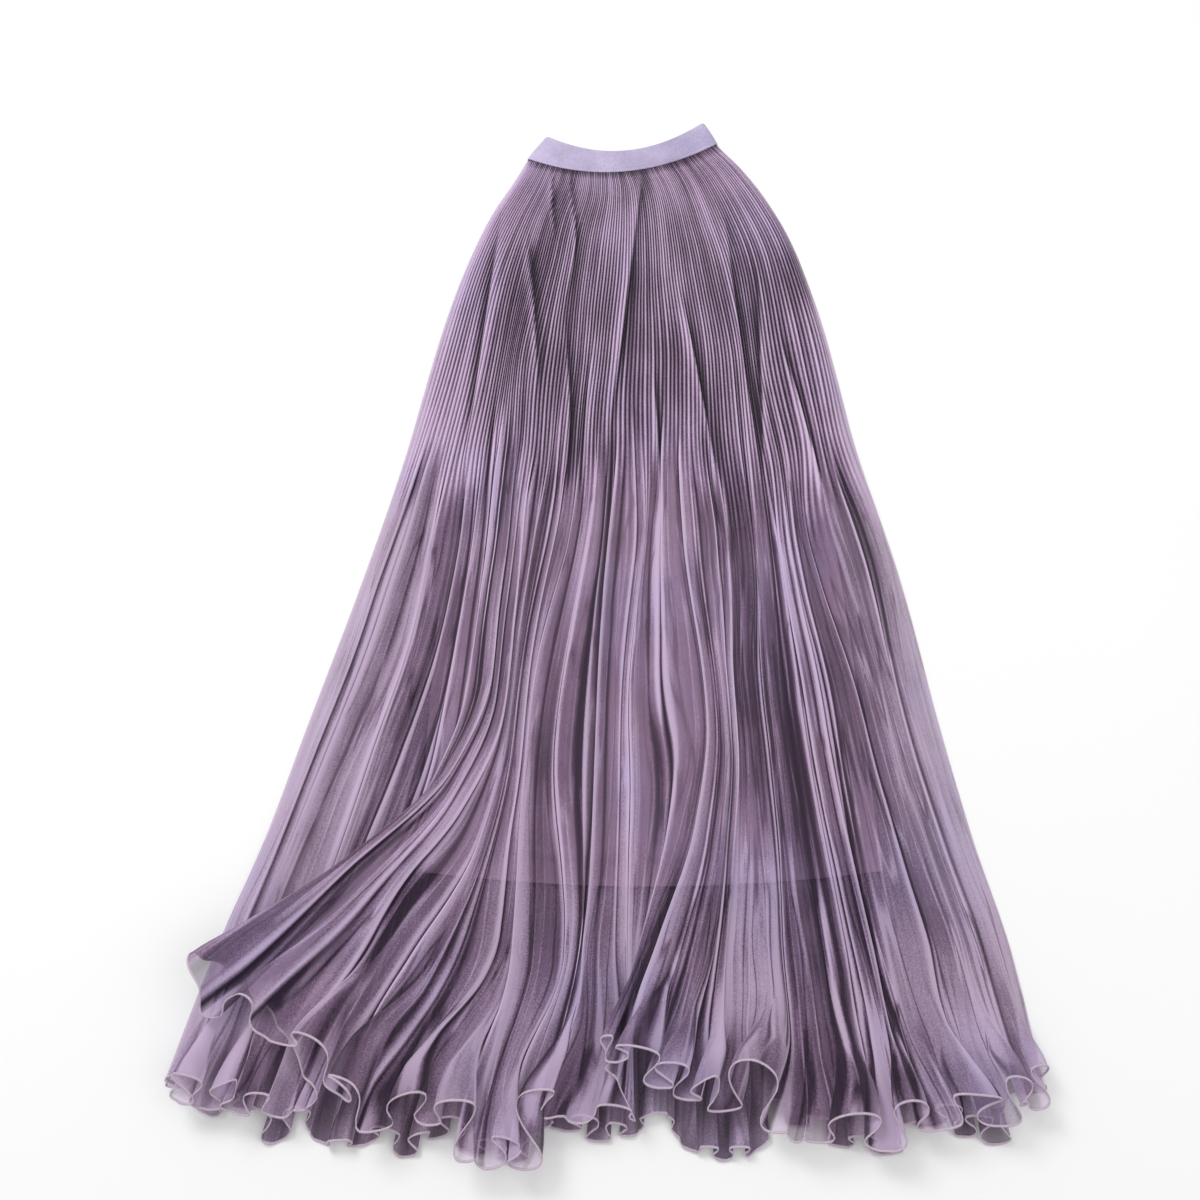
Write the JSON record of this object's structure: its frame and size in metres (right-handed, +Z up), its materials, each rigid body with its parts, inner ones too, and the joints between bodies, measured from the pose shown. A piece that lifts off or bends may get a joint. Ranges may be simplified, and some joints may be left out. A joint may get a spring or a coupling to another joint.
{
  "type": "pleated skirt",
  "caption": "Long sheer accordion-pleated skirt laid flat, with a smooth elastic waistband, a shorter plain lining and a ruffled lettuce-edged hem.",
  "frame": {"origin": "on the flat underside, under the middle of the length laid along Y", "axes": "+X across the skirt to its right as seen from above with the waist up, +Y from the hem to the waist, +Z up from the surface it lies on"},
  "size_m": [0.6504, 1.0072, 0.0399],
  "materials": {
    "sheer_mesh": "sheer matt mesh, dusty lilac",
    "lining": "plain woven lining, pinkish lilac",
    "waistband": "smooth satin-faced elastic, pale lilac"
  },
  "bodies": {
    "root": {"outer_front": "sheer_mesh", "outer_back": "sheer_mesh", "lining_front": "lining", "lining_back": "lining", "waistband": "waistband"}
  },
  "joints": []
}
